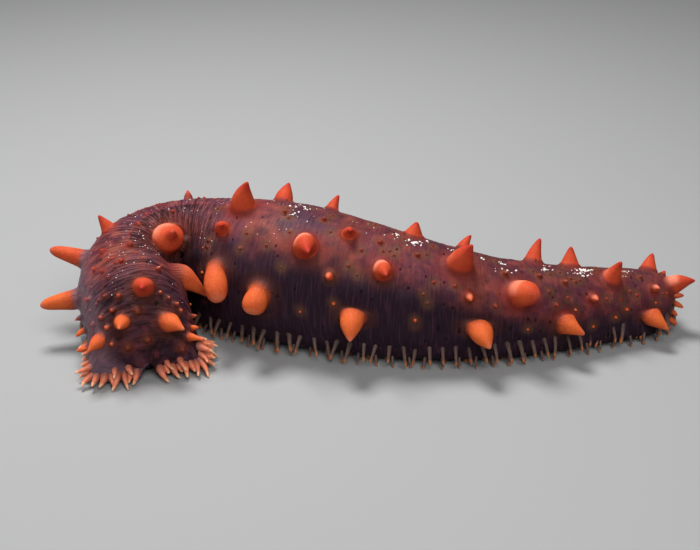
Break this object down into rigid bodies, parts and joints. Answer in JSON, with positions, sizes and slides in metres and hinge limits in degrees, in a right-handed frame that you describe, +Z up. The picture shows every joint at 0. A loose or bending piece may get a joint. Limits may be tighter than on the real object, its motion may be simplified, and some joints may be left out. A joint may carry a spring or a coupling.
{
  "type": "sea cucumber",
  "caption": "Life-size still model of a giant red sea cucumber, bent round at its mouth end, with pointed papillae, tube feet and a fringed mouth.",
  "frame": {"origin": "middle of the bounding box's underside, at floor level", "axes": "+X towards the tail along the floor, -Y the side that the bent mouth end turns to, +Z up"},
  "size_m": [0.3154, 0.1205, 0.077],
  "materials": {
    "skin": "wet maroon skin, satin to glossy, with fine cross wrinkles and dark pits",
    "papilla": "wet orange-red flesh, satin",
    "fringe": "pale salmon flesh, satin",
    "tube_foot": "thin pale brown flesh with orange tips",
    "tentacle": "soft pale yellow-brown flesh"
  },
  "bodies": {
    "root": {"mouth_end": "skin", "bend_length": "skin", "shoulder_length": "skin", "fore_length": "skin", "middle_length": "skin", "hind_length": "skin", "tail_end": "skin", "tentacles": "tentacle"}
  },
  "joints": []
}
